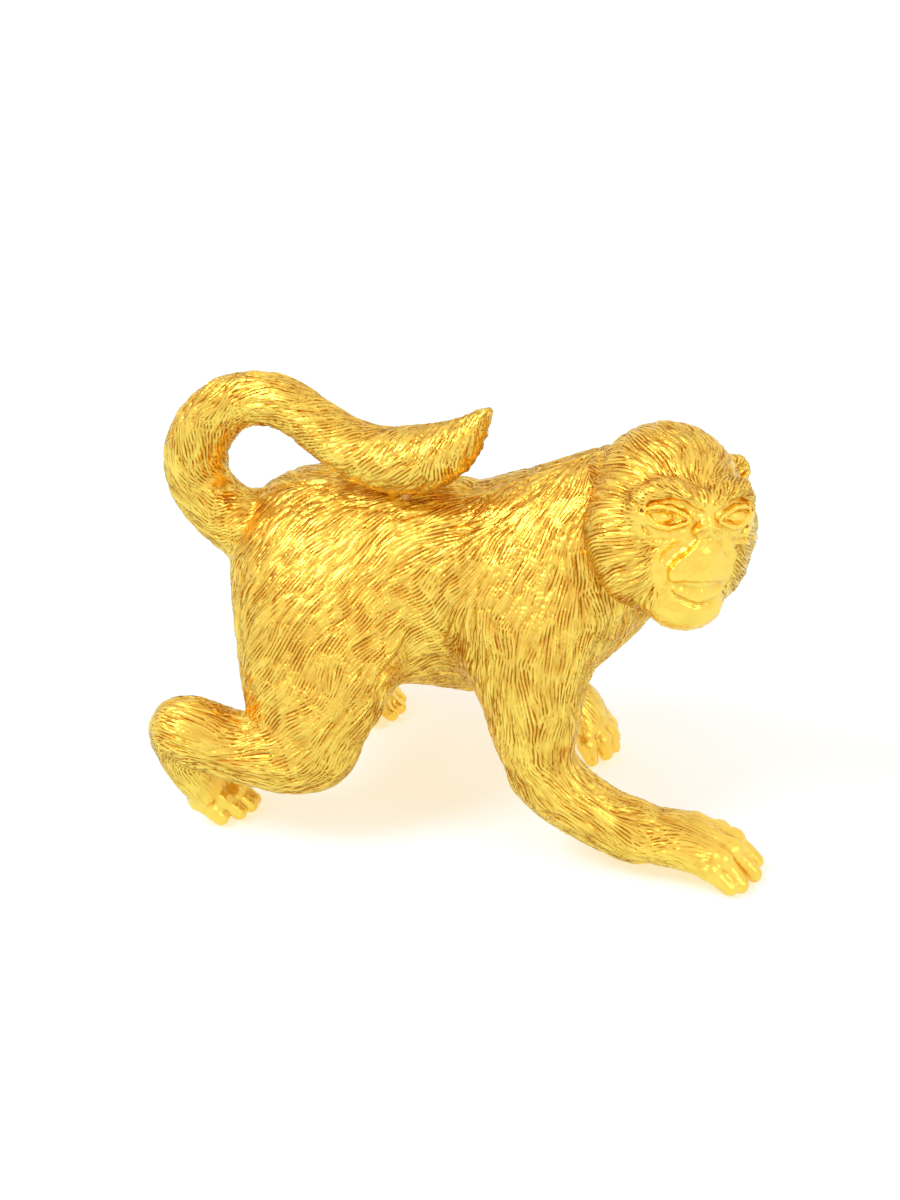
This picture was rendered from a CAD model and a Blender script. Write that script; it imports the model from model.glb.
import math

import bpy
import numpy as np
from bpy.props import FloatProperty, FloatVectorProperty, IntProperty, PointerProperty
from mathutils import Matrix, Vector


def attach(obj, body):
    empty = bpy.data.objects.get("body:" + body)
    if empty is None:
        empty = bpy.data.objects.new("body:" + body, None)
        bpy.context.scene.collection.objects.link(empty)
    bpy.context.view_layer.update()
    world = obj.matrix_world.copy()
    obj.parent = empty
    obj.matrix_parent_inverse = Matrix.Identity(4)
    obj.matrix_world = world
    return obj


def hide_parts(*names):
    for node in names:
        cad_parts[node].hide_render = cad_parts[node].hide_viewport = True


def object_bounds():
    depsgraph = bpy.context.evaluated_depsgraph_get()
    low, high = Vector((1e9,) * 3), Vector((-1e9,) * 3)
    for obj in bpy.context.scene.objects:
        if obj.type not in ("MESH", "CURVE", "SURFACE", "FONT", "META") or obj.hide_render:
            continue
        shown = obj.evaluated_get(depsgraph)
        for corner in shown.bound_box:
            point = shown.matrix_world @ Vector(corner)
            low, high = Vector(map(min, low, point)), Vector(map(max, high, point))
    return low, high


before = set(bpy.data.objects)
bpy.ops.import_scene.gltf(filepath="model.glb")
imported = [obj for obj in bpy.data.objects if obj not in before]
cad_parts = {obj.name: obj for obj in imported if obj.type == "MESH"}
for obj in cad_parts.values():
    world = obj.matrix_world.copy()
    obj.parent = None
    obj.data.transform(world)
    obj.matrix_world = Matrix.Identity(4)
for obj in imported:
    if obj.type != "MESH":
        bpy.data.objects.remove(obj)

bl_info = {
    "name": "Gilded monkey figurine",
    "version": (1, 0, 0),
    "blender": (4, 5, 0),
    "location": "3D View > Sidebar > Figurine",
    "description": "Sculpts, combs and gilds a small cast monkey on its packed castings",
    "category": "Add Mesh",
}

# The modelling frame. A part is about a millimetre, x runs to the chest, y to the animal's left and z up.
BOX_LOW, BOX_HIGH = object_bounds()
LENGTH_IN_PARTS = 74.86
PART = (BOX_HIGH.x - BOX_LOW.x) / LENGTH_IN_PARTS
BOX_CENTRE = np.array([(BOX_LOW.x + BOX_HIGH.x) / 2, (BOX_LOW.y + BOX_HIGH.y) / 2, BOX_LOW.z])
BOX_CENTRE_IN_PARTS = np.array([2.68, -1.57, 0.0])


def to_metres(points):
    """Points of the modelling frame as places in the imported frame."""
    return (np.asarray(points, float) - BOX_CENTRE_IN_PARTS) * PART + BOX_CENTRE


def unit(vector):
    vector = np.asarray(vector, float)
    return vector / np.linalg.norm(vector)


NOTHING = 1e-9


def unit_rows(vectors):
    return vectors / np.maximum(np.linalg.norm(vectors, axis=1, keepdims=True), NOTHING)


def eased(value, low, high):
    """0 below low, 1 above high and a smooth change between."""
    share = np.clip((value - low) / (high - low), 0.0, 1.0)
    return share * share * (3 - 2 * share)


# Forms. Each gives its distance from points, less than zero inside, and the corners of the space it fills.

class Bone:
    """A tapering bone with an oval section. The half sizes are across the side direction and square to it."""

    def __init__(self, start, end, start_half, end_half, side=(0, 1, 0), cap=None,
                 soft=0.0, cuts=False, fur=1.0, lean=(0, 0, 0), swirl=0.0):
        self.start, self.end = np.array(start, float), np.array(end, float)
        self.length = float(np.linalg.norm(self.end - self.start))
        self.axis = (self.end - self.start) / self.length
        side = np.asarray(side, float)
        self.side = unit(side - self.axis * (side @ self.axis))
        self.start_half, self.end_half, self.cap = start_half, end_half, cap or 0.0
        self.soft, self.cuts, self.fur, self.swirl = soft, cuts, fur, swirl
        self.lie = self.axis + np.array(lean, float)
        reach = max(*start_half, *end_half, self.cap)
        self.low = np.minimum(self.start, self.end) - reach
        self.high = np.maximum(self.start, self.end) + reach

    def distance(self, points):
        q = points - self.start
        return bone_distance(
            q, q @ self.axis, q @ self.side, self.length, self.start_half, self.end_half, self.cap)


SPECK = 1e-6


def bone_distance(q, along, sideways, length, start_half, end_half, cap):
    """About how far places, taken from a bone's start, are outside it. A cap of 0 is as long as it is deep."""
    share = np.clip(along / length, 0.0, 1.0)
    beyond = along - share * length
    square = np.maximum((q * q).sum(axis=-1) - along ** 2 - sideways ** 2, 0.0)
    width = start_half[0] + share * (end_half[0] - start_half[0])
    depth = start_half[1] + share * (end_half[1] - start_half[1])
    cap = np.where(cap > 0, cap, depth)
    reach = np.sqrt(sideways ** 2 + square + beyond ** 2 + SPECK)
    ratio = np.sqrt((sideways / width) ** 2 + (square + SPECK) / depth ** 2 + (beyond / cap) ** 2)
    return reach - reach / ratio


SHORTEST = 1e-4


class Egg(Bone):
    """An oval ball with half sizes along x, y and z."""

    def __init__(self, centre, half, soft=0.0, cuts=False, fur=1.0, lie=(1, 0, 0)):
        centre, section = np.array(centre, float), half[1:]
        super().__init__(
            centre, centre + [SHORTEST, 0.0, 0.0], section, section,
            cap=half[0], soft=soft, cuts=cuts, fur=fur)
        self.lie = np.array(lie, float)


def blend_in(value, other, soft):
    """The two bodies joined, with a fillet about as wide as soft."""
    if soft <= 0:
        return np.minimum(value, other)
    share = np.clip(0.5 + 0.5 * (other - value) / soft, 0.0, 1.0)
    return other + (value - other) * share - soft * share * (1.0 - share)


def cut_out(value, other, soft):
    """The first body less the second, with a soft rim."""
    return -blend_in(-value, other, soft)


# The distance given far away from a surface, how near a form counts, and how fast its distance may grow
FAR = 9.0
MARGIN = 1.6
STEEPNESS = 1.3


class Work:
    """Forms in the order in which they are joined or cut, with the space that each can change."""

    def __init__(self, forms, fillet=0.0):
        self.forms = forms
        self.lows = np.array([form.low - MARGIN - form.soft - fillet for form in forms])
        self.highs = np.array([form.high + MARGIN + form.soft + fillet for form in forms])
        self.low, self.high = self.lows.min(axis=0), self.highs.max(axis=0)
        self.softs, self.cuts, self.lengths, self.caps, self.starts, self.axes, self.sides = (
            np.array([getattr(form, name) for form in forms])
            for name in ("soft", "cuts", "length", "cap", "start", "axis", "side"))
        self.start_halves, self.end_halves = (
            np.array([getattr(form, name) for form in forms]).T for name in ("start_half", "end_half"))

    def reaches(self, low, high):
        return bool((self.low < high).all() and (self.high > low).all())

    def shaping(self, low, high):
        """The forms that can shape the surface between two corners."""
        close = np.flatnonzero(((self.lows < high) & (self.highs > low)).all(axis=1))
        q = (low + high) / 2 - self.starts[close]
        gaps = bone_distance(
            q, (q * self.axes[close]).sum(axis=1), (q * self.sides[close]).sum(axis=1), self.lengths[close],
            self.start_halves[:, close], self.end_halves[:, close], self.caps[close])
        cuts = self.cuts[close]
        nearest = gaps[~cuts].min(initial=FAR)
        reach = nearest + STEEPNESS * math.dist(low, high) + self.softs[close]
        return [self.forms[i] for i in close[cuts | (gaps < reach)]]

    def distance(self, points, low, high):
        value = np.full(len(points), FAR)
        if self.reaches(low, high):
            for form in self.shaping(low, high):
                change = cut_out if form.cuts else blend_in
                value = change(value, form.distance(points), form.soft)
        return value


def smooth_rows(rows, steps):
    """More rows, on a smooth curve through the given ones."""
    rows = np.array(rows, float)
    padded = np.vstack([2 * rows[0] - rows[1], rows, 2 * rows[-1] - rows[-2]])
    result = []
    for before, a, b, after in zip(padded, padded[1:], padded[2:], padded[3:]):
        for step in range(steps):
            t = step / steps
            result.append(0.5 * (
                2 * a + (b - before) * t + (2 * before - 5 * a + 4 * b - after) * t ** 2
                + (3 * a - before - 3 * b + after) * t ** 3))
    result.append(rows[-1])
    return np.array(result)


def bones_along(
        rows, steps=3, soft=0.0, start_cap=None, end_cap=None, fur=(1.0, 1.0), lean=(0, 0, 0), swirl=0.0):
    """Bones through rows of x, y, z, half width and half depth."""
    rows = smooth_rows(rows, steps)
    last = len(rows) - 2
    bones = []
    for i, (a, b) in enumerate(zip(rows[:-1], rows[1:])):
        cap = start_cap if i == 0 else end_cap if i == last else None
        fur_here = fur[0] + (fur[1] - fur[0]) * i / last
        bones.append(Bone(
            a[:3], b[:3], a[3:5], b[3:5], cap=cap, soft=soft, fur=fur_here, lean=lean, swirl=swirl))
    return bones


# Stations of the castings, in parts: x, y and z of the centre, then half the width and half the depth.
TORSO_ROWS = (
    (-19.4, 0.0, 27.4, 7.6, 6.8), (-17.4, 0.0, 26.9, 9.0, 8.4), (-14.4, 0.0, 26.9, 9.9, 10.5),
    (-9.0, 0.0, 27.4, 10.0, 12.4), (-2.0, 0.0, 27.5, 9.9, 13.1), (4.0, 0.0, 27.4, 10.0, 12.8),
    (9.5, 0.0, 29.2, 10.4, 12.6), (13.5, 0.0, 32.0, 9.9, 11.6), (17.0, 0.0, 35.2, 9.0, 10.3),
    (20.0, 0.0, 37.9, 8.1, 9.2), (22.8, 0.0, 40.2, 7.0, 7.9),
)
TAIL_ROWS = (
    (-21.5, 0.0, 28.6, 3.4, 3.4), (-24.8, 0.0, 30.3, 3.3, 3.3), (-28.0, 0.0, 33.0, 3.5, 3.5),
    (-30.4, 0.0, 36.4, 3.7, 3.7), (-30.9, 0.0, 39.9, 3.7, 3.7), (-29.7, 0.0, 43.6, 3.55, 3.55),
    (-26.8, 0.0, 47.0, 3.3, 3.3), (-23.2, -0.2, 48.5, 3.1, 3.1), (-19.1, -0.6, 48.4, 3.0, 2.95),
    (-15.3, -1.3, 46.5, 3.1, 2.9), (-11.6, -2.0, 44.8, 3.5, 3.1), (-7.4, -2.5, 43.9, 4.0, 3.5),
    (-3.0, -2.8, 44.5, 4.1, 3.8), (0.7, -3.0, 46.4, 3.5, 3.1), (3.3, -3.0, 49.1, 2.3, 1.8),
    (5.1, -3.0, 51.6, 0.9, 0.6),
)
RIGHT_THIGH_ROWS = (
    (-14.4, -5.5, 29.0, 4.2, 6.4), (-13.9, -9.3, 24.8, 5.0, 8.2), (-13.1, -12.0, 20.0, 5.3, 8.8),
    (-12.9, -14.0, 15.5, 5.2, 6.9), (-12.9, -14.8, 12.8, 4.8, 5.2),
)
RIGHT_SHANK_ROWS = (
    (-12.2, -15.0, 11.7, 4.3, 4.7), (-15.7, -15.7, 11.3, 4.3, 4.4), (-20.7, -16.3, 11.0, 3.8, 3.2),
    (-25.2, -16.7, 12.3, 3.5, 3.4), (-28.5, -16.9, 13.0, 3.2, 3.3),
)
RIGHT_FOOT_ROWS = (
    (-28.7, -16.7, 12.4, 2.9, 2.8), (-28.2, -16.3, 9.6, 3.1, 2.4), (-27.0, -15.7, 6.6, 3.4, 2.0),
    (-25.7, -15.1, 4.4, 3.5, 1.6),
)
LEFT_THIGH_ROWS = (
    (-16.5, 5.5, 30.5, 4.2, 8.0), (-14.5, 9.0, 25.0, 5.1, 8.5), (-11.8, 11.5, 21.0, 5.2, 7.3),
    (-9.6, 13.0, 17.8, 4.9, 5.6),
)
LEFT_SHANK_ROWS = (
    (-8.9, 13.0, 16.5, 4.2, 4.5), (-13.0, 13.1, 12.6, 4.1, 4.2), (-17.2, 13.2, 9.0, 3.4, 3.6),
    (-20.0, 13.3, 6.2, 2.9, 3.1),
)
LEFT_FOOT_ROWS = (
    (-21.0, 13.3, 3.2, 2.8, 2.6), (-17.5, 13.1, 2.8, 2.9, 2.4), (-14.4, 12.9, 2.2, 3.3, 2.0),
    (-12.8, 12.7, 1.9, 3.4, 1.6),
)
RIGHT_ARM_ROWS = (
    (11.4, -5.5, 32.5, 4.2, 5.8), (11.8, -9.2, 27.8, 4.6, 6.6), (12.5, -11.2, 23.0, 4.5, 6.1),
    (13.1, -12.2, 18.0, 4.3, 5.2), (13.8, -12.6, 14.2, 4.0, 4.2), (14.5, -12.6, 12.2, 3.7, 3.7),
)
RIGHT_FOREARM_ROWS = (
    (14.1, -12.6, 11.5, 3.6, 3.5), (17.2, -12.5, 8.8, 3.5, 3.1), (20.6, -12.4, 6.7, 3.3, 2.9),
    (24.0, -12.2, 5.1, 3.2, 2.9), (26.6, -12.1, 4.6, 3.4, 2.9),
)
RIGHT_HAND_ROWS = (
    (26.6, -12.1, 4.6, 3.4, 2.9), (29.4, -11.9, 4.4, 4.1, 2.9), (32.2, -11.6, 4.1, 4.4, 2.6),
    (34.0, -11.2, 3.4, 4.2, 2.1),
)
LEFT_ARM_ROWS = (
    (10.8, 5.5, 33.0, 4.2, 6.0), (9.8, 9.5, 27.0, 4.4, 6.3), (8.7, 11.3, 22.0, 4.2, 5.4),
    (7.0, 12.0, 17.5, 3.9, 4.5), (6.0, 12.0, 14.5, 3.6, 4.0),
)
LEFT_FOREARM_ROWS = (
    (5.2, 12.0, 15.2, 3.4, 3.6), (6.5, 11.8, 12.0, 3.2, 3.2), (8.6, 11.6, 9.3, 2.9, 2.9),
    (11.4, 11.4, 7.4, 3.0, 2.6),
)
LEFT_HAND_ROWS = ((11.4, 11.4, 7.4, 3.0, 2.6), (13.8, 11.2, 5.7, 3.3, 2.3), (15.3, 11.0, 3.9, 3.5, 1.8))

# Digits: the places of the root, the middle joint and the tip, then the radius at the root.
RIGHT_TOES = (
    ((-27.6, -16.9, 7.2), (-26.1, -17.0, 3.4), (-23.7, -16.6, 1.0), 1.30),
    ((-25.8, -15.9, 4.9), (-24.0, -15.6, 2.8), (-21.9, -15.1, 1.0), 1.20),
    ((-25.3, -14.5, 4.8), (-23.2, -14.0, 2.7), (-21.1, -13.3, 1.0), 1.15),
    ((-25.0, -13.1, 4.8), (-23.1, -12.6, 2.7), (-21.1, -12.0, 1.0), 1.10),
    ((-26.4, -12.6, 5.2), (-24.9, -11.4, 2.8), (-23.2, -10.3, 1.1), 1.25),
)
LEFT_TOES = (
    ((-13.8, 15.4, 2.0), (-12.6, 15.7, 1.7), (-11.5, 15.8, 0.95), 1.10),
    ((-13.6, 14.1, 2.2), (-11.9, 14.3, 1.9), (-10.4, 14.3, 0.95), 1.10),
    ((-13.6, 12.7, 2.3), (-11.6, 12.6, 1.9), (-9.9, 12.4, 0.95), 1.10),
    ((-13.8, 11.3, 2.2), (-12.0, 11.0, 1.9), (-10.4, 10.6, 0.95), 1.10),
    ((-15.2, 10.5, 2.1), (-13.8, 9.6, 1.8), (-12.5, 8.8, 1.05), 1.20),
)
RIGHT_FINGERS = (
    ((31.4, -14.5, 3.6), (34.8, -15.0, 2.9), (37.2, -15.3, 1.1), 1.20),
    ((31.9, -12.7, 5.2), (35.8, -13.7, 3.7), (38.3, -14.4, 1.1), 1.25),
    ((32.2, -11.2, 5.6), (36.7, -11.7, 3.9), (39.4, -11.9, 1.1), 1.25),
    ((32.0, -9.7, 5.5), (36.4, -9.5, 3.8), (39.1, -9.2, 1.1), 1.25),
    ((30.8, -8.3, 3.9), (34.4, -7.0, 3.0), (36.6, -5.9, 1.1), 1.20),
)
LEFT_FINGERS = (
    ((14.6, 13.6, 4.2), (15.8, 14.2, 2.6), (16.5, 14.5, 0.95), 1.10),
    ((15.4, 12.3, 4.1), (16.8, 12.6, 2.6), (17.6, 12.7, 0.95), 1.15),
    ((15.7, 10.9, 4.1), (17.2, 10.9, 2.6), (18.0, 10.7, 0.95), 1.15),
    ((15.4, 9.5, 4.1), (16.8, 9.1, 2.6), (17.5, 8.8, 0.95), 1.15),
    ((14.3, 8.6, 4.0), (15.4, 7.5, 2.6), (16.1, 7.0, 0.95), 1.15),
)
MIDDLE_GIRTH_SHARE = 0.93
TIP_GIRTH_SHARE = 0.78
KNUCKLE_GIRTH_SHARE = 1.1
DIGIT_FUR = 0.12


def digit_bones(digits):
    """Two bones for each digit and a knuckle between them."""
    bones = []
    for root, middle, tip, radius in digits:
        inner, outer = radius * MIDDLE_GIRTH_SHARE, radius * TIP_GIRTH_SHARE
        knuckle = radius * KNUCKLE_GIRTH_SHARE
        bones.append(Bone(root, middle, (radius, radius), (inner, inner), soft=0.5, fur=DIGIT_FUR))
        bones.append(Bone(middle, tip, (inner, inner), (outer, outer), soft=0.2, fur=DIGIT_FUR))
        bones.append(Egg(middle, (knuckle,) * 3, soft=0.4, fur=DIGIT_FUR, lie=np.subtract(tip, middle)))
    return bones


# How the fur leans away from the line of each limb, and how it winds round the tail, in degrees
THIGH_LEAN = (-0.75, 0.0, 0.0)
ARM_LEAN = (-0.15, 0.0, 0.0)
TAIL_SWIRL = 38.0


# How wide a fillet joins each casting to the torso
JOINT_FILLETS = {
    "tail": 1.0, "right_fore_limb": 7.0, "left_fore_limb": 5.0, "right_hind_limb": 8.0, "left_hind_limb": 6.0,
}


def casting_works():
    """What each casting below the neck is made of."""
    forms = {
        "torso": bones_along(TORSO_ROWS, start_cap=3.8, end_cap=3.0),
        "tail": bones_along(TAIL_ROWS, steps=2, swirl=TAIL_SWIRL),
        "right_hind_limb": (
            bones_along(RIGHT_THIGH_ROWS, end_cap=4.6, lean=THIGH_LEAN)
            + bones_along(RIGHT_SHANK_ROWS, soft=1.6, end_cap=2.8)
            + bones_along(RIGHT_FOOT_ROWS, soft=1.0, fur=(0.8, 0.3))
            + digit_bones(RIGHT_TOES)),
        "left_hind_limb": (
            bones_along(LEFT_THIGH_ROWS, end_cap=4.0, lean=THIGH_LEAN)
            + bones_along(LEFT_SHANK_ROWS, soft=1.6)
            + bones_along(LEFT_FOOT_ROWS, soft=1.0, fur=(0.6, 0.3))
            + digit_bones(LEFT_TOES)),
        "right_fore_limb": (
            bones_along(RIGHT_ARM_ROWS, end_cap=3.2, lean=ARM_LEAN)
            + bones_along(RIGHT_FOREARM_ROWS, soft=1.4)
            + bones_along(RIGHT_HAND_ROWS, fur=(0.8, 0.3))
            + digit_bones(RIGHT_FINGERS)),
        "left_fore_limb": (
            bones_along(LEFT_ARM_ROWS, end_cap=3.2, lean=ARM_LEAN)
            + bones_along(LEFT_FOREARM_ROWS, soft=1.2)
            + bones_along(LEFT_HAND_ROWS, fur=(0.8, 0.3))
            + digit_bones(LEFT_FINGERS)),
    }
    widest = max(JOINT_FILLETS.values())
    return {name: Work(own, JOINT_FILLETS.get(name, widest)) for name, own in forms.items()}


BODY_LOW = (-35.2, -21.0, -0.6)
BODY_HIGH = (41.8, 20.0, 53.2)


def body_distance(works, points, low, high):
    """The distance from the joined castings, filed flat at the floor."""
    value = works["torso"].distance(points, low, high)
    for name, fillet in JOINT_FILLETS.items():
        if works[name].reaches(low, high):
            value = blend_in(value, works[name].distance(points, low, high), fillet)
    return np.maximum(value, -points[:, 2])


# Surfaces out of distances

# A block is split until it is small, or left out where its middle is far from the surface for its size.
WHOLE_BLOCK, SMALL_BLOCK = 32, 8
SAFE_SHARE = 1.8
SAFE_GAP = 0.4


def fill_block(grid, sampler, low, step, start, size):
    """Fills a block of a grid with distances, in ever smaller blocks where the surface may pass."""
    corner, side = low + np.array(start) * step, size * step
    reach = side * math.sqrt(3) / 2 * SAFE_SHARE + SAFE_GAP
    at_centre = sampler(corner[None, :] + side / 2, corner, corner + side)[0]
    if at_centre > reach:
        return
    place = tuple(slice(i, i + size + 1) for i in start)
    if at_centre < -reach:
        grid[place] = -FAR
    elif size > SMALL_BLOCK:
        half = size // 2
        for octant in np.ndindex(2, 2, 2):
            fill_block(grid, sampler, low, step, tuple(i + half * o for i, o in zip(start, octant)), half)
    else:
        offsets = np.arange(size + 1) * step
        local = np.stack(np.meshgrid(offsets, offsets, offsets, indexing="ij"), axis=-1).reshape(-1, 3)
        grid[place] = sampler(corner + local, corner, corner + side).reshape((size + 1,) * 3)


def sample_blocks(low, high, step, sampler):
    """A grid of distances between two corners, with plain far values away from the surface."""
    low, high = np.array(low, float), np.array(high, float)
    counts = np.ceil((high - low) / (step * WHOLE_BLOCK)).astype(int)
    grid = np.full(counts * WHOLE_BLOCK + 1, FAR, np.float32)
    for index in np.ndindex(*counts):
        fill_block(grid, sampler, low, step, tuple(i * WHOLE_BLOCK for i in index), WHOLE_BLOCK)
    return grid


def surface_of(grid, low, step):
    """Points and four-sided faces of the surface where distances pass zero, one point in a crossed cell."""
    inside = grid < 0
    strides = np.array([grid.shape[1] * grid.shape[2], grid.shape[2], 1])
    sums, owners, flips = [], [], []
    for axis in range(3):
        first, second = [slice(None)] * 3, [slice(None)] * 3
        first[axis], second[axis] = slice(0, -1), slice(1, None)
        crossed = np.stack(np.nonzero(inside[tuple(first)] != inside[tuple(second)]), axis=1)
        u, v = (axis + 1) % 3, (axis + 2) % 3
        crossed = crossed[(crossed[:, u] > 0) & (crossed[:, v] > 0)]
        ahead = crossed + np.eye(3, dtype=int)[axis]
        start, end = grid[tuple(crossed.T)], grid[tuple(ahead.T)]
        place = crossed.astype(float)
        place[:, axis] += start / (start - end)
        base = crossed @ strides
        owners.append(np.stack([
            base, base - strides[u], base - strides[u] - strides[v], base - strides[v]], axis=1))
        flips.append(start > 0)
        sums.append(np.repeat(place, 4, axis=0))
    owners, sums, flips = np.concatenate(owners), np.concatenate(sums), np.concatenate(flips)
    index = np.unique(owners.reshape(-1), return_inverse=True)[1].reshape(-1)
    count = np.bincount(index)
    points = np.stack([np.bincount(index, sums[:, c]) / count for c in range(3)], axis=1)
    faces = index.reshape(-1, 4)
    faces[flips] = faces[flips][:, ::-1]
    return points * step + np.array(low, float), faces


def point_normals(points, faces):
    crossed = np.cross(points[faces[:, 2]] - points[faces[:, 0]], points[faces[:, 3]] - points[faces[:, 1]])
    total = np.zeros_like(points)
    for corner in range(4):
        for c in range(3):
            total[:, c] += np.bincount(faces[:, corner], crossed[:, c], minlength=len(points))
    return unit_rows(total)


MOST_NEIGHBOURS = 8


def neighbour_table(count, faces):
    """Each point's neighbours along the edges, filled up with the point itself."""
    pairs = np.concatenate([faces[:, [i, (i + 1) % 4]] for i in range(4)])
    pairs = np.concatenate([pairs, pairs[:, ::-1]])
    keys = np.unique(pairs[:, 0].astype(np.int64) * count + pairs[:, 1])
    owner, other = keys // count, keys % count
    rank = np.arange(len(owner)) - np.searchsorted(owner, np.arange(count))[owner]
    table = np.repeat(np.arange(count)[:, None], MOST_NEIGHBOURS, axis=1)
    keep = rank < MOST_NEIGHBOURS
    table[owner[keep], rank[keep]] = other[keep]
    return table


def evened(values, table, rounds):
    """Values or points drawn towards their neighbours' mean."""
    for _ in range(rounds):
        values = values + 0.5 * (values[table].mean(axis=1) - values)
    return values


class Grain:
    """Smooth random values in space, the same on every run."""

    SIDE = 96
    LAPS = 10

    def __init__(self, seed):
        values = np.random.default_rng(seed).standard_normal(self.SIDE ** 3)
        self.values = values.astype(np.float32)

    def at(self, points, pitch):
        q = points / pitch + self.LAPS * self.SIDE
        cell = np.floor(q).astype(np.int64)
        t = (q - cell).astype(np.float32)
        t = t * t * (3 - 2 * t)
        total = np.zeros(len(points), np.float32)
        for corner in np.ndindex(2, 2, 2):
            x, y, z = ((cell[:, c] + corner[c]) % self.SIDE for c in range(3))
            weight = np.ones(len(points), np.float32)
            for c in range(3):
                weight = weight * (t[:, c] if corner[c] else 1 - t[:, c])
            total += weight * self.values[(x * self.SIDE + y) * self.SIDE + z]
        return total


class Skin:
    """A surface with its normals, its neighbours and the way its fur lies."""

    def __init__(self, points, faces):
        self.points, self.faces = points, faces
        self.table = neighbour_table(len(points), faces)
        self.points = evened(self.points, self.table, 1)
        self.normals = point_normals(self.points, faces)
        self.lie = np.zeros_like(self.points)
        self.fur = np.ones(len(self.points))

    def lay_fur(self, lie):
        lie = lie - self.normals * np.einsum("ni,ni->n", lie, self.normals)[:, None]
        self.lie = unit_rows(lie)

    def turned_lie(self, angles):
        across = np.cross(self.normals, self.lie)
        return self.lie * np.cos(angles)[:, None] + across * np.sin(angles)[:, None]

    def combed(self, grain, pitch, length, stride):
        """Random values drawn out along the lie of the fur, with a spread of one."""
        steps = max(int(length / 2 / stride), 1)
        total = grain.at(self.points, pitch)
        for way in (1.0, -1.0):
            place, nearest = self.points.copy(), np.arange(len(self.points))
            for step in range(1, steps + 1):
                place = place + self.lie[nearest] * (way * stride)
                options = np.concatenate([nearest[:, None], self.table[nearest]], axis=1)
                gaps = self.points[options] - place[:, None, :]
                closest = np.einsum("nij,nij->ni", gaps, gaps).argmin(axis=1)
                nearest = options[np.arange(len(options)), closest]
                lift = np.einsum("ni,ni->n", place - self.points[nearest], self.normals[nearest])
                place = place - self.normals[nearest] * lift[:, None]
                total += (0.5 + 0.5 * math.cos(math.pi * step / (steps + 1))) * grain.at(place, pitch)
        return total / total.std()


def ridges(values, sharpness, reach):
    """Rounded ridges from 0 to 1 with a sharp groove wherever the value passes zero."""
    return np.clip(np.abs(values) / reach, 0.0, 1.0) ** sharpness


# The head is shaped in its own frame: x out of the face, y to the animal's left, z to the crown.
HEAD_CENTRE = np.array([26.0, -3.0, 41.1])
HEAD_TURN, HEAD_RAISE, HEAD_ROLL = -48.9, 16.8, -11.7
HEAD_GIRTH_SHARE = 0.975
HEAD_LOW, HEAD_HIGH = (-10.4, -12.6, -14.0), (12.0, 12.6, 12.6)


def head_axes():
    """The head's own axes, as columns in the modelling frame."""
    turn, raised, roll = (math.radians(angle) for angle in (HEAD_TURN, -HEAD_RAISE, HEAD_ROLL))
    about_z = np.array([[math.cos(turn), -math.sin(turn), 0], [math.sin(turn), math.cos(turn), 0], [0, 0, 1]])
    about_y = np.array([
        [math.cos(raised), 0, math.sin(raised)], [0, 1, 0], [-math.sin(raised), 0, math.cos(raised)]])
    about_x = np.array([[1, 0, 0], [0, math.cos(roll), -math.sin(roll)], [0, math.sin(roll), math.cos(roll)]])
    return about_z @ about_y @ about_x


# Balls of the head: the centre, then half the size along x, y and z
SKULL = ((-0.8, 0.0, 1.5), (8.6, 8.9, 9.5))
CHEEKS = ((1.0, 0.0, -1.2), (5.8, 10.9, 6.6))
JOWLS = ((1.6, 0.0, -5.2), (5.0, 9.3, 5.6))
FACE = ((3.9, 0.0, -0.8), (3.9, 7.9, 7.6))
MUZZLE = ((7.6, 0.0, -1.9), (2.0, 2.6, 1.7))
CHIN = ((4.9, 0.1, -8.9), (3.4, 4.6, 3.2))
EYE_MOUND = ((5.3, 4.5, 1.3), (2.5, 3.4, 2.5))
EYE_BALL = ((6.15, 4.6, 1.3), (1.5, 1.8, 1.0))
NOSTRIL_WING = ((9.0, 0.95, -0.1), (0.95, 0.85, 0.75))
LEFT_EAR = ((-1.2, 8.9, 5.2), (1.3, 2.2, 2.0))
LEFT_EAR_CUP = ((0.0, 9.8, 5.4), (0.7, 0.9, 1.1))
RIGHT_EAR = ((-3.6, -7.7, 4.6), (1.6, 0.8, 2.0))

# Rolls, rims and creases: places on the animal's left or across the face, then the radius at each
LID_CREASE = (
    [(6.2, 7.1, 1.8), (7.2, 6.1, 2.6), (7.9, 4.6, 3.05), (8.4, 2.9, 2.8), (8.9, 1.3, 1.95), (9.1, 0.2, 1.5)],
    (0.25, 0.44, 0.55, 0.55, 0.48, 0.25))
EYE_OPENING = ([(7.0, 6.5, 1.95), (7.9, 5.2, 1.45), (8.1, 3.9, 1.15), (8.3, 2.4, 1.1)], (0.25, 1.0, 1.0, 0.3))
UPPER_RIM = (
    [(6.6, 6.8, 2.1), (7.45, 5.5, 2.55), (7.85, 4.2, 2.45), (8.25, 2.8, 1.8), (8.4, 1.9, 1.2)],
    (0.2, 0.3, 0.3, 0.3, 0.2))
LOWER_RIM = (
    [(6.7, 6.5, 1.4), (7.3, 5.6, 0.35), (7.7, 4.3, 0.1), (8.1, 2.8, 0.5), (8.4, 1.9, 0.9)],
    (0.2, 0.3, 0.3, 0.28, 0.2))
INNER_BAG = (
    [(6.6, 6.7, 0.6), (7.3, 5.5, -0.4), (7.8, 4.0, -0.6), (8.3, 2.4, 0.1), (8.7, 1.6, 0.3)],
    (0.15, 0.26, 0.3, 0.26, 0.15))
OUTER_BAG = (
    [(6.0, 7.3, 1.0), (6.7, 6.3, -0.5), (7.4, 4.8, -1.2), (8.0, 3.3, -0.95), (8.6, 1.9, -0.3)],
    (0.15, 0.25, 0.28, 0.28, 0.2))
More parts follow.
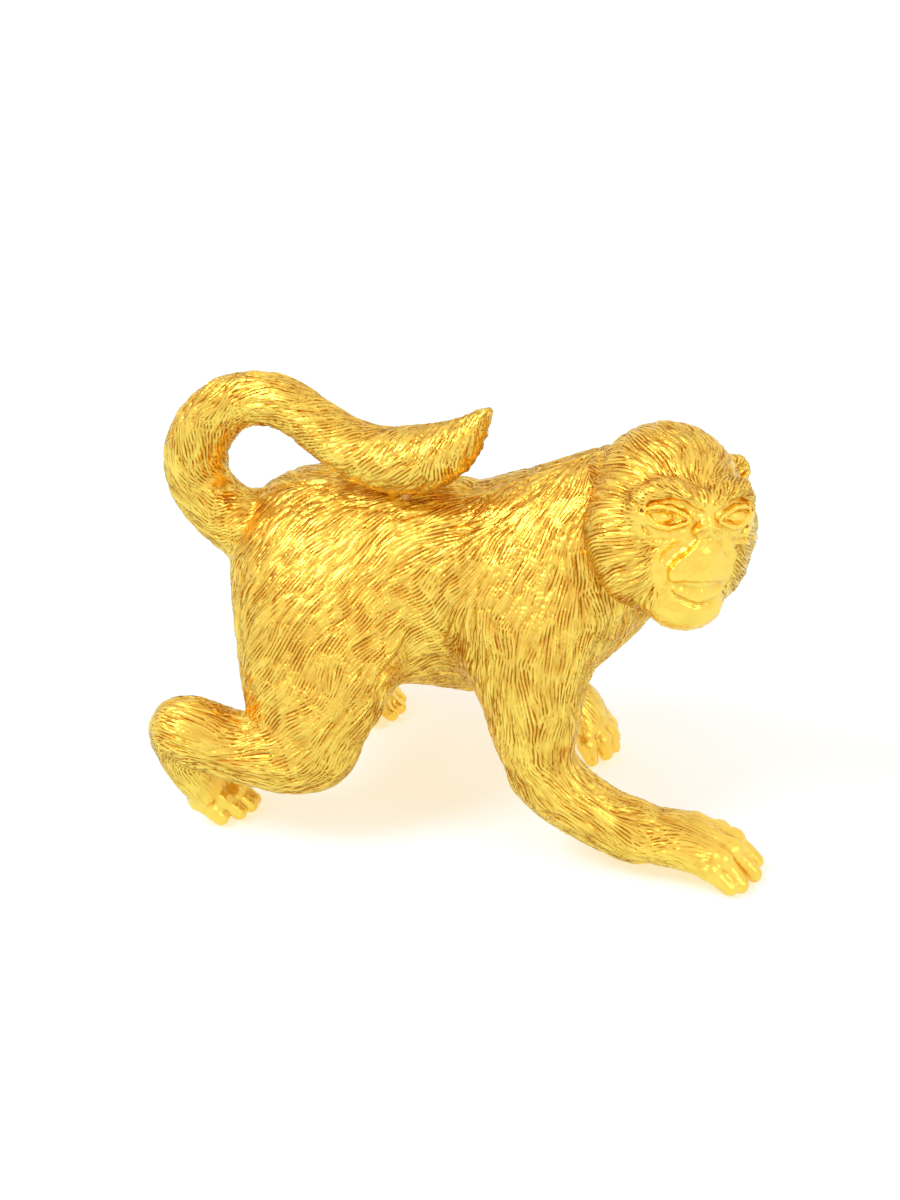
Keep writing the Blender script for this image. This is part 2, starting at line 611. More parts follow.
BROW = (
    [(5.4, 7.2, 3.1), (6.7, 5.2, 4.2), (7.4, 3.2, 4.1), (8.0, 1.4, 3.3), (8.2, 0.0, 2.7)],
    (0.8, 1.0, 1.0, 0.95, 0.9))
FURROW = (
    [(9.0, 1.7, -1.0), (8.6, 3.0, -1.9), (8.0, 4.3, -3.2), (7.5, 4.7, -4.8), (7.4, 4.0, -6.2)],
    (0.4, 0.85, 0.8, 0.6, 0.3))
MOUTH_FOLD = ([(7.3, 5.2, -2.9), (6.7, 5.7, -4.3), (6.5, 5.1, -5.8)], (0.2, 0.3, 0.15))
UPPER_CHEEK_FOLD = ([(7.9, 4.0, -1.2), (7.0, 5.6, -1.3), (6.3, 6.6, -1.4)], (0.15, 0.24, 0.1))
LOWER_CHEEK_FOLD = ([(7.5, 4.7, -1.8), (6.8, 5.6, -2.4), (6.3, 6.3, -3.1)], (0.15, 0.24, 0.1))
NOSTRIL = ([(10.0, 0.4, 0.2), (9.7, 1.3, -0.5)], (0.38, 0.46))
NOSE_BRIDGE = ([(7.9, 0.0, 2.4), (8.5, 0.0, 1.2), (8.9, 0.0, 0.4)], (0.9, 0.8, 0.95))
LIP_TOP = ([(7.5, -2.6, -2.9), (8.0, 0.0, -2.8), (7.5, 2.6, -2.9)], (1.6, 1.75, 1.6))
UPPER_LIP = ([(7.4, -2.9, -4.7), (7.9, 0.0, -4.7), (7.4, 2.9, -4.7)], (1.5, 1.75, 1.5))
LOWER_LIP = ([(7.1, -2.5, -7.1), (7.7, 0.0, -7.2), (7.1, 2.5, -7.1)], (1.0, 1.2, 1.0))
MOUTH = (
    [(7.3, -4.0, -6.3), (8.6, -2.4, -6.1), (9.6, 0.0, -6.0), (8.6, 2.4, -6.1), (7.3, 4.0, -6.3)],
    (0.12, 0.2, 0.26, 0.2, 0.12))
CHIN_CREASE = (
    [(7.4, -3.7, -6.6), (7.9, -2.4, -7.8), (8.4, -0.4, -8.6), (8.2, 1.8, -8.4), (7.8, 3.2, -7.6)],
    (0.12, 0.22, 0.26, 0.24, 0.12))


def strip(path, soft, cuts=False):
    """Round bones through the places of a roll or a crease."""
    places, radii = path
    return [
        Bone(a, b, (ra, ra), (rb, rb), soft=soft, cuts=cuts)
        for a, b, ra, rb in zip(places, places[1:], radii, radii[1:])
    ]


def fold(path, side, soft=0.3, cuts=True):
    """A crease, or a low rim where it doesn't cut, on either side of the face."""
    places, radii = path
    return strip(([(x, y * side, z) for x, y, z in places], radii), soft, cuts)


def ball(shape, side, **settings):
    """A ball of the head, given for the animal's left, on either side of the face."""
    (x, y, z), half = shape
    return Egg((x, y * side, z), half, **settings)


def both_sides(make):
    """What make gives for the animal's left and for its right."""
    return make(1.0) + make(-1.0)


def brow_forms(side):
    """A brow that runs down into the bridge of the nose."""
    return fold(BROW, side, soft=1.5, cuts=False)


def eye_forms(side):
    """A heavy-lidded almond eye: its mound, the opening, the ball, the two rims and the folds round them."""
    return [
        ball(EYE_MOUND, side, soft=0.9),
        *fold(LID_CREASE, side, soft=0.4),
        *fold(EYE_OPENING, side),
        ball(EYE_BALL, side, soft=0.06),
        *fold(UPPER_RIM, side, soft=0.25, cuts=False),
        *fold(LOWER_RIM, side, soft=0.25, cuts=False),
        *fold(INNER_BAG, side),
        *fold(OUTER_BAG, side),
    ]


def nostril_forms(side):
    return [ball(NOSTRIL_WING, side, soft=0.4), *fold(NOSTRIL, side, soft=0.1)]


def cheek_forms(side):
    """The bare furrow from the wing of the nose round the corner of the mouth, and the folds outside it."""
    return [
        *fold(FURROW, side, soft=0.6), *fold(MOUTH_FOLD, side), *fold(UPPER_CHEEK_FOLD, side),
        *fold(LOWER_CHEEK_FOLD, side)]


def head_work():
    """The head from the skull outwards. The left ear is cupped, and the right one lies flat under the fur."""
    return Work([
        Egg(*SKULL),
        Egg(*CHEEKS, soft=2.5),
        Egg(*JOWLS, soft=2.5),
        Egg(*FACE, soft=1.8),
        *both_sides(brow_forms),
        *both_sides(eye_forms),
        *strip(NOSE_BRIDGE, soft=0.6),
        Egg(*MUZZLE, soft=0.8),
        *strip(LIP_TOP, soft=1.0),
        *strip(UPPER_LIP, soft=1.0),
        *both_sides(nostril_forms),
        Egg(*CHIN, soft=1.6),
        *strip(LOWER_LIP, soft=0.5),
        *both_sides(cheek_forms),
        *strip(MOUTH, soft=0.3, cuts=True),
        *strip(CHIN_CREASE, soft=0.3, cuts=True),
        Egg(*LEFT_EAR, soft=1.0),
        Egg(*LEFT_EAR_CUP, soft=0.4, cuts=True),
        Egg(*RIGHT_EAR, soft=1.0),
    ])


# Bare patches on the front of the face: the centre's y and z, then half the width and half the height
BARE_PATCHES = ((0.0, -4.3, 5.6, 4.6), (4.2, 0.7, 3.6, 3.0), (0.0, 0.6, 2.2, 2.4), (0.0, -9.5, 4.6, 3.8))
BARE_EDGE = (0.86, 1.12)
FACE_FRONT = 3.5


def head_mask(points):
    """How furred the head is: 0 on the muzzle, the eyes, the nose and the chin, 1 on the rest."""
    x, y, z = points.T
    bare = np.min([
        np.sqrt(((np.abs(y) - across) / half_width) ** 2 + ((z - up) / half_height) ** 2)
        for across, up, half_width, half_height in BARE_PATCHES], axis=0)
    return np.where(x > FACE_FRONT, eased(bare, *BARE_EDGE), 1.0)


FUR_SOURCE = np.array([9.0, 0.0, -0.5])
FUR_DRIFT = np.array([-0.5, 0.0, -0.25])


def head_skin(step):
    """The head's surface in its own frame, with its fur lying away from the nose and a little to the back."""
    grid = sample_blocks(HEAD_LOW, HEAD_HIGH, step, head_work().distance)
    skin = Skin(*surface_of(grid, HEAD_LOW, step))
    skin.lay_fur(unit_rows(skin.points - FUR_SOURCE) + FUR_DRIFT)
    skin.fur = head_mask(skin.points)
    return skin


# How steeply the fur of the flanks falls, in degrees below the line to the rump, by the place along the body
FLANK_PLACES = (-24.0, -18.0, -8.0, 2.0, 8.0, 13.0, 18.0, 22.0)
FLANK_ANGLES = (62.0, 45.0, 36.0, 38.0, 50.0, 72.0, 95.0, 110.0)
FLANK_SPREAD, SPREAD_REACH = 0.35, 3.0
LIE_REACH = 3.0
LIE_BLEND = 0.55
LIE_ROUNDS = 4


def flank_lie(points):
    angles = np.radians(np.interp(points[:, 0], FLANK_PLACES, FLANK_ANGLES))
    outward = FLANK_SPREAD * np.tanh(points[:, 1] / SPREAD_REACH)
    return np.stack([-np.cos(angles), outward, -np.sin(angles)], axis=1)


def body_skin(step):
    """The joined castings' surface, each point's distance from each casting, and the lie of its fur."""
    works = casting_works()
    grid = sample_blocks(
        BODY_LOW, BODY_HIGH, step, lambda points, low, high: body_distance(works, points, low, high))
    skin = Skin(*surface_of(grid, BODY_LOW, step))
    count = len(skin.points)
    gaps = {name: np.full(count, FAR) for name in works}
    lie, total, fur = np.zeros((count, 3)), np.full(count, NOTHING), np.zeros(count)
    for name, work in works.items():
        for form in work.forms:
            close = np.flatnonzero(
                ((skin.points > form.low - LIE_REACH) & (skin.points < form.high + LIE_REACH)).all(axis=1))
            places = skin.points[close]
            gap = form.distance(places)
            gaps[name][close] = np.minimum(gaps[name][close], gap)
            weight = np.exp(-np.maximum(gap, -0.5) / LIE_BLEND)
            heading = flank_lie(places) if name == "torso" else np.broadcast_to(unit(form.lie), places.shape)
            normals = skin.normals[close]
            heading = heading - normals * np.einsum("ni,ni->n", heading, normals)[:, None]
            if form.swirl:
                angle = math.radians(form.swirl)
                heading = heading * math.cos(angle) + np.cross(normals, heading) * math.sin(angle)
            lie[close] += weight[:, None] * heading
            fur[close] += weight * form.fur
            total[close] += weight
    skin.lay_fur(evened(lie / total[:, None], skin.table, LIE_ROUNDS))
    skin.fur = fur / total
    return skin, gaps


# Tooling. Widths are in parts, and sharpness below one gives a groove steep sides.
BROAD_WANDER, BROAD_WANDER_PITCH = 0.26, 3.2
FINE_WANDER, FINE_WANDER_PITCH = 0.08, 1.4
LOCK_WIDTH, LOCK_LENGTH = 3.2, 1.5
STRAND_SHARPNESS, STRAND_SPREAD, STRAND_LEVEL = 0.62, 1.2, 0.55
LOCK_SHARPNESS, LOCK_SPREAD, LOCK_LEVEL = 0.55, 1.3, 0.6
STRAND_SHADE, LOCK_SHADE = 0.62, 0.42
PIT_WIDTH, PIT_DEPTH = 1.3, 0.035
HOLLOW_ROUNDS, HOLLOW_DEPTH, HOLLOW_START = 12, 0.055, 0.1
FUR_OVER_HOLLOW = 0.6


class Comb:
    """The tooling that cuts fur into a skin, in parts."""

    def __init__(self, settings):
        self.pitch, self.length = settings.strand_pitch, settings.strand_length
        self.depth, self.lock_depth = settings.strand_depth, settings.lock_depth
        self.grain, self.locks, self.wander = (Grain(settings.seed + number) for number in range(3))

    def cut(self, skin, step):
        """Cuts the strands and gives how deep in a groove or a hollow each point lies, from 0 to 1."""
        sunk = evened(skin.points, skin.table, HOLLOW_ROUNDS) - skin.points
        hollow = np.clip(np.einsum("ni,ni->n", sunk, skin.normals) / HOLLOW_DEPTH - HOLLOW_START, 0.0, 1.0)
        wander = (
            BROAD_WANDER * self.wander.at(skin.points, BROAD_WANDER_PITCH)
            + FINE_WANDER * self.wander.at(skin.points, FINE_WANDER_PITCH))
        skin.lie = skin.turned_lie(wander)
        fine = skin.combed(self.grain, self.pitch, self.length, step)
        broad = skin.combed(
            self.locks, self.pitch * LOCK_WIDTH, self.length * LOCK_LENGTH, step * LOCK_LENGTH)
        strands = ridges(fine, STRAND_SHARPNESS, STRAND_SPREAD)
        locks = ridges(broad, LOCK_SHARPNESS, LOCK_SPREAD)
        height = self.depth * (strands - STRAND_LEVEL) + self.lock_depth * (locks - LOCK_LEVEL)
        bare_height = PIT_DEPTH * self.grain.at(skin.points, self.pitch * PIT_WIDTH)
        height = skin.fur * height + (1 - skin.fur) * bare_height
        skin.points = skin.points + skin.normals * height[:, None]
        groove = skin.fur * np.clip(1.0 - STRAND_SHADE * strands - LOCK_SHADE * locks, 0.0, 1.0)
        return np.maximum(groove, hollow * (1 - FUR_OVER_HOLLOW * skin.fur))


# Pieces

def loops_of(edges):
    """The closed rings that directed edges (from, to) make."""
    following = {}
    for a, b in edges.tolist():
        following.setdefault(a, []).append(b)
    rings = []
    while following:
        start = next(iter(following))
        ring, here = [start], start
        while True:
            ahead = following[here].pop()
            if not following[here]:
                del following[here]
            if ahead == start:
                break
            if ahead in ring:
                cut = ring.index(ahead)
                rings.append(ring[cut:])
                ring = ring[:cut + 1]
            else:
                ring.append(ahead)
            here = ahead
        rings.append(ring)
    return [ring for ring in rings if len(ring) > 2]


def closed_share(skin, chosen):
    """The chosen faces of a skin, the triangles that close their rims, and the middles of the rims."""
    faces = skin.faces[chosen]
    edges = np.concatenate([faces[:, [i, (i + 1) % 4]] for i in range(4)])
    count = len(skin.points)
    keys, back_keys = edges[:, 0] * count + edges[:, 1], edges[:, 1] * count + edges[:, 0]
    open_edges = edges[~np.isin(keys, back_keys)]
    caps, middles = [], []
    for ring in loops_of(open_edges[:, ::-1]):
        centre = count + len(middles)
        middles.append(skin.points[ring].mean(axis=0))
        caps += [(a, b, centre) for a, b in zip(ring, ring[1:] + ring[:1])]
    return faces, caps, middles


def make_mesh(name, points, faces, triangles=()):
    """A mesh of four-sided faces and a few triangles."""
    mesh = bpy.data.meshes.new(name)
    corners = np.concatenate([faces.reshape(-1), np.array(triangles, int).reshape(-1)]).astype(np.int32)
    totals = np.concatenate([np.full(len(faces), 4), np.full(len(triangles), 3)]).astype(np.int32)
    starts = np.concatenate([[0], np.cumsum(totals)[:-1]]).astype(np.int32)
    mesh.vertices.add(len(points))
    mesh.vertices.foreach_set("co", np.asarray(points, np.float32).reshape(-1))
    mesh.loops.add(len(corners))
    mesh.loops.foreach_set("vertex_index", corners)
    mesh.polygons.add(len(totals))
    mesh.polygons.foreach_set("loop_start", starts)
    mesh.polygons.foreach_set("use_smooth", np.ones(len(totals), bool))
    mesh.update(calc_edges=True)
    mesh.validate()
    return mesh


def add_casting(name, mesh):
    """Puts a furred casting into the scene in place of the plain one."""
    piece = bpy.data.objects.new("furred_" + name, mesh)
    bpy.context.scene.collection.objects.link(piece)
    piece.data.materials.append(gilding())
    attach(piece, "root")
    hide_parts(name)


def store(mesh, name, kind, values):
    """Keeps a value for each point of a mesh under a name that the finish reads."""
    attribute = mesh.attributes.new(name, kind, "POINT")
    field = "vector" if kind == "FLOAT_VECTOR" else "value"
    attribute.data.foreach_set(field, np.asarray(values, np.float32).reshape(-1))


def cast(name, skin, groove, chosen, normals):
    """One casting out of the chosen faces of a skin."""
    faces, caps, middles = closed_share(skin, chosen)
    numbers = np.unique(faces)
    count = len(skin.points)
    renumber = np.zeros(count + len(middles), int)
    renumber[numbers] = np.arange(len(numbers))
    renumber[count:] = len(numbers) + np.arange(len(middles))
    extra = np.array(middles).reshape(-1, 3)
    points = np.vstack([skin.points[numbers], extra])
    triangles = renumber[np.array(caps, int).reshape(-1, 3)]
    mesh = make_mesh("furred_" + name, to_metres(points), renumber[faces], triangles)
    own_normals = np.vstack([normals[numbers], np.tile([0.0, 0.0, 1.0], (len(extra), 1))])
    across = np.cross(skin.normals[numbers], skin.lie[numbers])
    padding = np.zeros(len(extra))
    store(mesh, "groove", "FLOAT", np.concatenate([groove[numbers], padding]))
    store(mesh, "fur", "FLOAT", np.concatenate([skin.fur[numbers], padding]))
    store(mesh, "across", "FLOAT_VECTOR", np.vstack([across, np.tile([1.0, 0.0, 0.0], (len(extra), 1))]))
    mesh.normals_split_custom_set_from_vertices(own_normals.astype(np.float32))
    add_casting(name, mesh)


# Finishes

def socket(node, name):
    """The input of a node that is switched on under a name, where a node keeps one for each kind of value."""
    return next(item for item in node.inputs if item.name == name and item.enabled)


class Tree:
    """The node tree of a material or a world, under construction."""

    def __init__(self, owner):
        owner.use_nodes = True
        self.nodes, self.links = owner.node_tree.nodes, owner.node_tree.links
        self.nodes.clear()

    def set(self, target, value):
        if isinstance(value, bpy.types.NodeSocket):
            self.links.new(value, target)
        else:
            target.default_value = value

    def add(self, kind, settings=(), **inputs):
        node = self.nodes.new("ShaderNode" + kind)
        for key, value in dict(settings).items():
            setattr(node, key, value)
        for key, value in inputs.items():
            self.set(socket(node, key.replace("_", " ")), value)
        return node

    def maths(self, operation, first, second):
        node = self.add("Math", {"operation": operation})
        for target, value in zip(node.inputs, (first, second)):
            self.set(target, value)
        return node.outputs["Value"]

    def seen_rays(self):
        """1 for camera, mirror and glass rays, 0 for the rays that light things."""
        path = self.add("LightPath").outputs
        mirrored = self.maths("MAXIMUM", path["Is Camera Ray"], path["Is Glossy Ray"])
        return self.maths("MAXIMUM", mirrored, path["Is Transmission Ray"])

    def show(self, lighting, seen, kind):
        """Gives one shader to the rays that light things and another to those that are seen."""
        mix = self.add("MixShader", Fac=self.seen_rays())
        self.links.new(lighting, mix.inputs[1])
        self.links.new(seen, mix.inputs[2])
        self.links.new(mix.outputs["Shader"], self.add(kind).inputs["Surface"])


class Finish(Tree):
    """A metal finish under construction."""

    def __init__(self, name):
        self.material = bpy.data.materials.new(name)
        super().__init__(self.material)
        self.shader = self.add("BsdfPrincipled", Metallic=1.0)
        self.links.new(self.shader.outputs["BSDF"], self.add("OutputMaterial").inputs["Surface"])

    def feed(self, name, value):
        self.set(self.shader.inputs[name], value)

    def places(self):
        return self.add("TexCoord").outputs["Object"]

    def attribute(self, name, output="Fac"):
        return self.add("Attribute", {"attribute_name": name}).outputs[output]

    def noise(self, scale, detail=2.0):
        return self.add("TexNoise", Vector=self.places(), Scale=scale, Detail=detail).outputs["Fac"]

    def ranged(self, value, low, high, to_low, to_high):
        node = self.add(
            "MapRange", {"clamp": True}, Value=value,
            From_Min=low, From_Max=high, To_Min=to_low, To_Max=to_high)
        return node.outputs["Result"]

    def mixed(self, share, first, second):
        """A colour between two, by a share that changes over the surface."""
        node = self.add(
            "Mix", {"data_type": "RGBA"}, Factor=share, A=(*first, 1.0), B=(*second, 1.0))
        return next(item for item in node.outputs if item.enabled)

    def bump(self, height, distance):
        return self.add("Bump", Height=height, Distance=distance)

    def engraving(self, scale, frequency):
        """Lines cut along the fur, 1 in a line and 0 beside it. The scale is one over a line's length."""
        strands = self.add(
            "TexGabor", {"gabor_type": "3D"}, Vector=self.places(), Scale=scale, Frequency=frequency,
            Anisotropy=1.0, Orientation=self.attribute("across", "Vector"))
        return self.ranged(strands.outputs["Value"], *LINE_EDGE, 1.0, 0.0)


# The engraved lines run where the strands' value is below the edge, and fade where the fur does.
LINE_EDGE = (0.3, 0.46)
FUR_EDGE = (0.15, 0.7)
# How much grooves, lines and tarnished patches each darken the gilding, and where the dark starts and is full
GROOVE_SHADE, LINE_SHADE, PATCH_SHADE = 0.7, 0.75, 0.2
SHADE_EDGE = (0.05, 0.95)
# Patches and grain in a metre
PATCH_SCALE, GRAIN_SCALE = 260.0, 4200.0
PATCH_EDGE = (0.45, 0.75)
ROUGHNESS_DROP, ROUGHNESS_RISE = 0.05, 0.06
SPREAD_OF_NOISE = (0.3, 0.7)
# The brass has drawing lines and stains in a metre, and its own roughness.
DRAWN_SCALE, STAIN_SCALE = 1800.0, 300.0
DRAWN_ROUGHNESS = (0.3, 0.45)


def gilding():
    """Bright gilding: darker and redder in the grooves, with engraved strands and a peened grain."""
    known = bpy.data.materials.get("bright_gilding")
    if known:
        return known
    look = bpy.context.scene.figurine_gilding
    finish = Finish("bright_gilding")
    patches = finish.noise(PATCH_SCALE, 3.0)
    furred = finish.ranged(finish.attribute("fur"), *FUR_EDGE, 0.0, 1.0)
    cut = finish.maths("MULTIPLY", finish.engraving(look.strand_scale, look.strand_frequency), furred)
    depth = finish.maths(
        "ADD", finish.maths("MULTIPLY", finish.attribute("groove"), GROOVE_SHADE),
        finish.maths("MULTIPLY", cut, LINE_SHADE))
    depth = finish.maths("ADD", depth, finish.ranged(patches, *PATCH_EDGE, 0.0, PATCH_SHADE))
    shade = finish.ranged(depth, *SHADE_EDGE, 0.0, 1.0)
    finish.feed("Base Color", finish.mixed(shade, look.face_colour, look.groove_colour))
    finish.feed("Roughness", finish.ranged(
        patches, *SPREAD_OF_NOISE, look.roughness - ROUGHNESS_DROP, look.roughness + ROUGHNESS_RISE))
    grain = finish.bump(finish.noise(GRAIN_SCALE), look.grain_relief)
    lines = finish.bump(finish.maths("SUBTRACT", 1.0, cut), look.strand_relief)
    finish.links.new(lines.outputs["Normal"], grain.inputs["Normal"])
    finish.feed("Normal", grain.outputs["Normal"])
    return finish.material


def dowel_brass():
    """Drawn brass rod: plainer and darker than the gilding, with faint lines from the die."""
    known = bpy.data.materials.get("drawn_brass")
    if known:
        return known
    look = bpy.context.scene.figurine_gilding
    finish = Finish("drawn_brass")
    lines = finish.noise(DRAWN_SCALE)
    finish.feed("Base Color", finish.mixed(finish.noise(STAIN_SCALE), look.brass_colour, look.groove_colour))
    finish.feed("Roughness", finish.ranged(lines, *SPREAD_OF_NOISE, *DRAWN_ROUGHNESS))
    finish.feed("Normal", finish.bump(lines, look.grain_relief).outputs["Normal"])
    return finish.material


def paint_floor(settings):
    """A pale floor that camera and mirror rays see as the backdrop, with the figure's warm shadow on it."""
    material = bpy.data.materials.new("pale_floor")
    tree = Tree(material)
    shade = np.array(settings.shadow_colour)
    lit = (np.array(settings.backdrop) - shade) / settings.floor_light
    plain = tree.add("BsdfDiffuse", Color=(*settings.floor_colour, 1.0))
    tinted = tree.add("BsdfDiffuse", Color=(*lit, 1.0))
    glow = tree.add("Emission", Color=(*shade, 1.0))
    seen = tree.add("AddShader")
    tree.links.new(tinted.outputs["BSDF"], seen.inputs[0])
    tree.links.new(glow.outputs["Emission"], seen.inputs[1])
    tree.show(plain.outputs["BSDF"], seen.outputs["Shader"], "OutputMaterial")
    return material


def paint_world(settings):
    """A room that lights the figure evenly from all round and is seen as the backdrop."""
    world = bpy.data.worlds.new("pale_room")
    tree = Tree(world)
    light = tree.add("Background", Color=(1.0, 1.0, 1.0, 1.0), Strength=settings.ambient)
    seen = tree.add("Background", Color=(*settings.backdrop, 1.0), Strength=1.0)
    tree.show(light.outputs["Background"], seen.outputs["Background"], "OutputWorld")
    return world


# Settings. Sizes of the modelling are in parts and the finish's are in metres.

def colour(name, description, default):
    return FloatVectorProperty(
        name=name, description=description, default=default, subtype="COLOR", size=3, min=0.0, max=1.0)


class FurSettings(bpy.types.PropertyGroup):
    """How finely the castings are modelled and how their fur is tooled"""

    body_step: FloatProperty(
        name="Body Step", description="Spacing of the modelled points below the neck, in parts",
        default=0.22, min=0.1, max=1.0)
    head_step: FloatProperty(
        name="Head Step", description="Spacing of the modelled points of the head, in parts",
        default=0.15, min=0.08, max=1.0)
    strand_pitch: FloatProperty(
        name="Strand Pitch", description="Width of one strand of fur, in parts",
        default=0.27, min=0.1, max=2.0)
    strand_length: FloatProperty(
        name="Strand Length", description="Length of one strand of fur, in parts",
        default=5.0, min=0.5, max=12.0)
    strand_depth: FloatProperty(
        name="Strand Depth", description="Depth of the groove beside a strand, in parts",
        default=0.24, min=0.0, max=1.0)
    lock_depth: FloatProperty(
        name="Lock Depth", description="Depth of the groove beside a lock of strands, in parts",
        default=0.2, min=0.0, max=1.0)
    seed: IntProperty(name="Seed", description="Start of the random lie of the fur", default=11, min=0)


class GildingSettings(bpy.types.PropertyGroup):
    """Colours and relief of the gilding and of the brass under it"""

    face_colour: colour("Face Colour", "Gilding on the high places", (1.0, 0.67, 0.11))
    groove_colour: colour("Groove Colour", "Gilding in the grooves", (0.56, 0.19, 0.01))
    brass_colour: colour("Brass Colour", "Bare brass of the dowels", (0.72, 0.48, 0.16))
    roughness: FloatProperty(
        name="Roughness", description="Blur of the gilding's reflections", subtype="FACTOR",
        default=0.3, min=0.06, max=1.0)
    strand_scale: FloatProperty(
        name="Strand Scale", description="Engraved strands end to end in a metre",
        default=300.0, min=10.0, max=5000.0)
    strand_frequency: FloatProperty(
        name="Strand Frequency", description="Engraved strands side by side in the length of one",
        default=8.0, min=0.5, max=24.0)
    strand_relief: FloatProperty(
        name="Strand Relief", description="Depth of the engraved strands", unit="LENGTH",
        default=0.00009, min=0.0, max=0.001, precision=6)
    grain_relief: FloatProperty(
        name="Grain Relief", description="Height of the cast grain", unit="LENGTH",
        default=0.000012, min=0.0, max=0.001, precision=6)


class StageSettings(bpy.types.PropertyGroup):
    """Camera, lamps and floor"""

    turn: FloatProperty(
        name="Turn", description="How far round to the figure's chest the camera stands", unit="ROTATION",
        default=math.radians(15.0))
    height: FloatProperty(
        name="Height", description="How far above level the camera looks from", unit="ROTATION",
        default=math.radians(30.0))
    distance: FloatProperty(
        name="Distance", description="Camera to the middle of the picture", unit="LENGTH",
        default=0.333, min=0.05)
    lens: FloatProperty(name="Lens", description="Focal length in millimetres", default=85.0, min=10.0)
    key_power: FloatProperty(
        name="Key Power", description="Lamp above and to the left", unit="POWER", default=2.0)
    fill_power: FloatProperty(name="Fill Power", description="Lamp to the right", unit="POWER", default=0.5)
    ambient: FloatProperty(name="Ambient", description="Light from all round", default=0.6, min=0.0)
    backdrop: colour("Backdrop", "Colour behind the figure", (1.0, 1.0, 1.0))
    floor_colour: colour("Floor Colour", "Floor as the figure is lit by it", (0.97, 0.9, 0.8))
    shadow_colour: colour("Shadow Colour", "Floor where no light reaches it", (0.95, 0.6, 0.36))
    floor_light: FloatProperty(
        name="Floor Light", description="Brightness of the open floor that counts as fully lit",
        default=0.64, min=0.1)


# Operators

class FIGURINE_OT_body(bpy.types.Operator):
    """Sculpt the torso, the tail and the four limbs as one surface and part it into the castings"""

    bl_idname = "figurine.body"
    bl_label = "Torso, Tail and Limbs"

    def execute(self, context):
        settings = context.scene.figurine_fur
        skin, gaps = body_skin(settings.body_step)
        groove = Comb(settings).cut(skin, settings.body_step)
        skin.points[:, 2] = np.maximum(skin.points[:, 2], 0.0)
        normals = point_normals(skin.points, skin.faces)
        owner = np.argmin([gap[skin.faces].sum(axis=1) for gap in gaps.values()], axis=0)
        for number, name in enumerate(gaps):
            cast(name, skin, groove, owner == number, normals)
        return {"FINISHED"}


class FIGURINE_OT_head(bpy.types.Operator):
    """Sculpt the head in its own frame and turn it to its place on the neck"""

    bl_idname = "figurine.head"
    bl_label = "Head"

    def execute(self, context):
        settings = context.scene.figurine_fur
        skin = head_skin(settings.head_step)
        groove = Comb(settings).cut(skin, settings.head_step)
        axes = head_axes()
        skin.points = skin.points * HEAD_GIRTH_SHARE @ axes.T + HEAD_CENTRE
        skin.normals, skin.lie = skin.normals @ axes.T, skin.lie @ axes.T
        normals = point_normals(skin.points, skin.faces)
        cast("head", skin, groove, np.ones(len(skin.faces), bool), normals)
        return {"FINISHED"}


class FIGURINE_OT_dowels(bpy.types.Operator):
    """Finish the brass dowels that the castings are pinned with"""

    bl_idname = "figurine.dowels"
    bl_label = "Dowels"

    def execute(self, context):
        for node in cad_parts.values():
            if not node.hide_render:
                node.data.materials.clear()
                node.data.materials.append(dowel_brass())
        return {"FINISHED"}


def aim(item, target):
    item.rotation_mode = "QUATERNION"
    item.rotation_quaternion = (Vector(target) - item.location).to_track_quat("-Z", "Y")


def add_to_stage(name, data, place, target):
    """A lamp or a camera that looks at a target."""
    item = bpy.data.objects.new(name, data)
    bpy.context.scene.collection.objects.link(item)
    item.location = place
    aim(item, target)
    return item


# The middle of the picture in parts, and the stage as shares of the camera's distance from it
PICTURE_CENTRE = (0.0, 0.0, 25.0)
KEY_PLACE_SHARES = np.array([-1.1, -0.9, 1.7])
FILL_PLACE_SHARES = np.array([1.6, -0.8, 1.0])
LAMP_SHARE = 0.9
FLOOR_SHARE = 12
FLOOR_GAP = 0.0001
SENSOR_WIDTH = 36.0
CLIP_START, CLIP_END = 0.01, 20.0


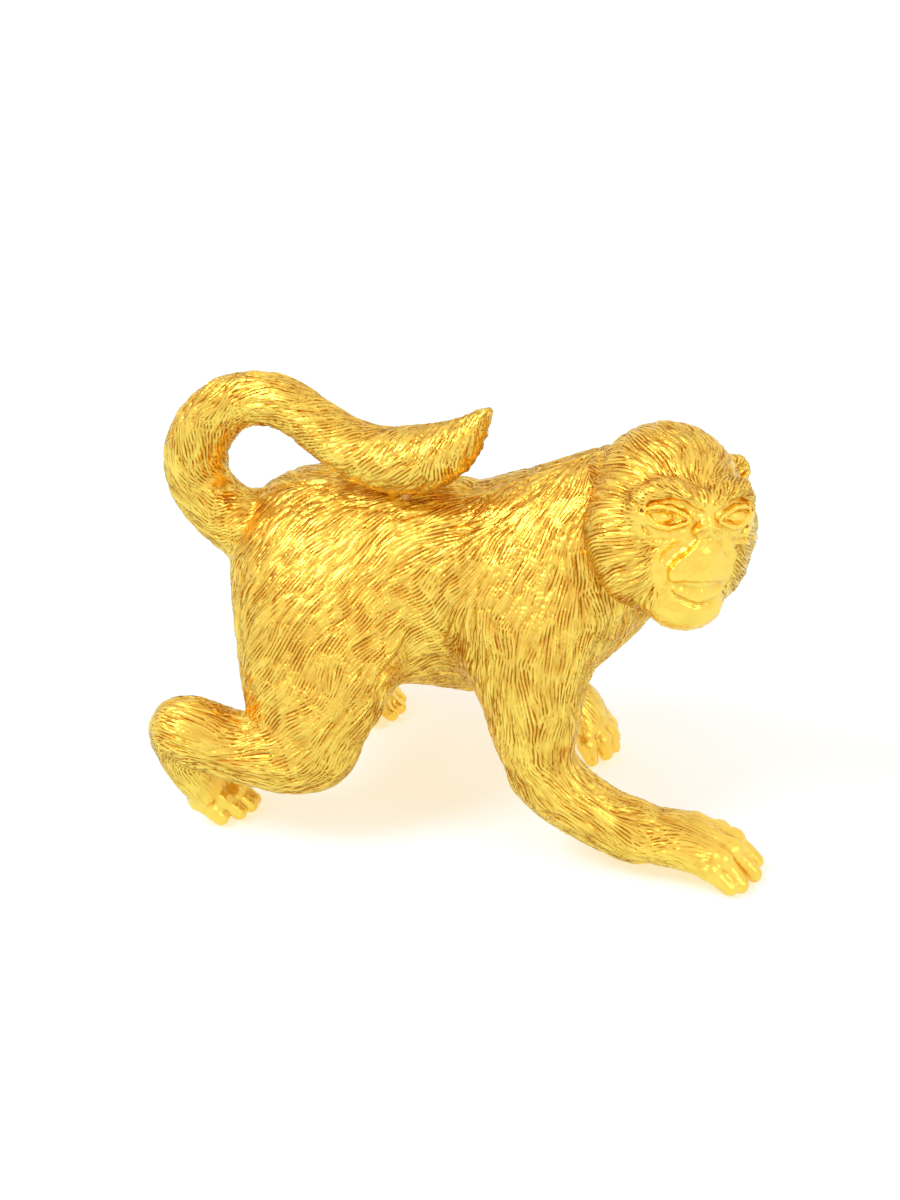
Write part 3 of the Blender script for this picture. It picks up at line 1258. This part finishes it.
class FIGURINE_OT_stage(bpy.types.Operator):
    """Set the pale floor, the lamps and the camera round the figure"""

    bl_idname = "figurine.stage"
    bl_label = "Floor, Lamps and Camera"

    def execute(self, context):
        scene, settings = context.scene, context.scene.figurine_stage
        centre, reach = to_metres(PICTURE_CENTRE), settings.distance
        half, level = FLOOR_SHARE * reach, BOX_LOW.z - FLOOR_GAP
        corners = [(x * half, y * half, level) for x, y in ((-1, -1), (1, -1), (1, 1), (-1, 1))]
        floor_mesh = bpy.data.meshes.new("floor")
        floor_mesh.from_pydata(corners, [], [(0, 1, 2, 3)])
        floor_mesh.materials.append(paint_floor(settings))
        floor = bpy.data.objects.new("floor", floor_mesh)
        scene.collection.objects.link(floor)
        scene.world = paint_world(settings)

        for name, shares, power in (
            ("key_lamp", KEY_PLACE_SHARES, settings.key_power),
            ("fill_lamp", FILL_PLACE_SHARES, settings.fill_power),
        ):
            lamp = bpy.data.lights.new(name, "AREA")
            lamp.shape, lamp.size, lamp.energy = "DISK", LAMP_SHARE * reach, power
            add_to_stage(name, lamp, centre + reach * shares, centre)

        lens = bpy.data.cameras.new("camera")
        lens.lens, lens.sensor_width = settings.lens, SENSOR_WIDTH
        lens.clip_start, lens.clip_end = CLIP_START, CLIP_END
        turn, height = settings.turn, settings.height
        back = np.array([
            math.sin(turn) * math.cos(height), -math.cos(turn) * math.cos(height), math.sin(height)])
        scene.camera = add_to_stage("camera", lens, centre + back * reach, centre)
        scene.view_settings.view_transform = "Standard"
        return {"FINISHED"}


class FIGURINE_PT_panel(bpy.types.Panel):
    """The pieces of the figurine and its stage"""

    bl_idname = "FIGURINE_PT_panel"
    bl_label = "Gilded Monkey Figurine"
    bl_space_type = "VIEW_3D"
    bl_region_type = "UI"
    bl_category = "Figurine"

    def draw(self, context):
        scene = context.scene
        for group, operators in (
            (scene.figurine_fur, (FIGURINE_OT_body, FIGURINE_OT_head)),
            (scene.figurine_gilding, (FIGURINE_OT_dowels,)),
            (scene.figurine_stage, (FIGURINE_OT_stage,)),
        ):
            box = self.layout.box()
            for name in group.__annotations__:
                box.prop(group, name)
            for operator in operators:
                box.operator(operator.bl_idname)


GROUPS = {
    "figurine_fur": FurSettings, "figurine_gilding": GildingSettings, "figurine_stage": StageSettings,
}
OPERATORS = (FIGURINE_OT_body, FIGURINE_OT_head, FIGURINE_OT_dowels, FIGURINE_OT_stage)


def register():
    for item in (*GROUPS.values(), *OPERATORS, FIGURINE_PT_panel):
        bpy.utils.register_class(item)
    for name, group in GROUPS.items():
        setattr(bpy.types.Scene, name, PointerProperty(type=group))


def unregister():
    for name in GROUPS:
        delattr(bpy.types.Scene, name)
    for item in (FIGURINE_PT_panel, *reversed(OPERATORS), *GROUPS.values()):
        bpy.utils.unregister_class(item)


def main():
    register()
    bpy.ops.figurine.body()
    bpy.ops.figurine.head()
    bpy.ops.figurine.dowels()
    bpy.ops.figurine.stage()


if __name__ == "__main__":
    main()
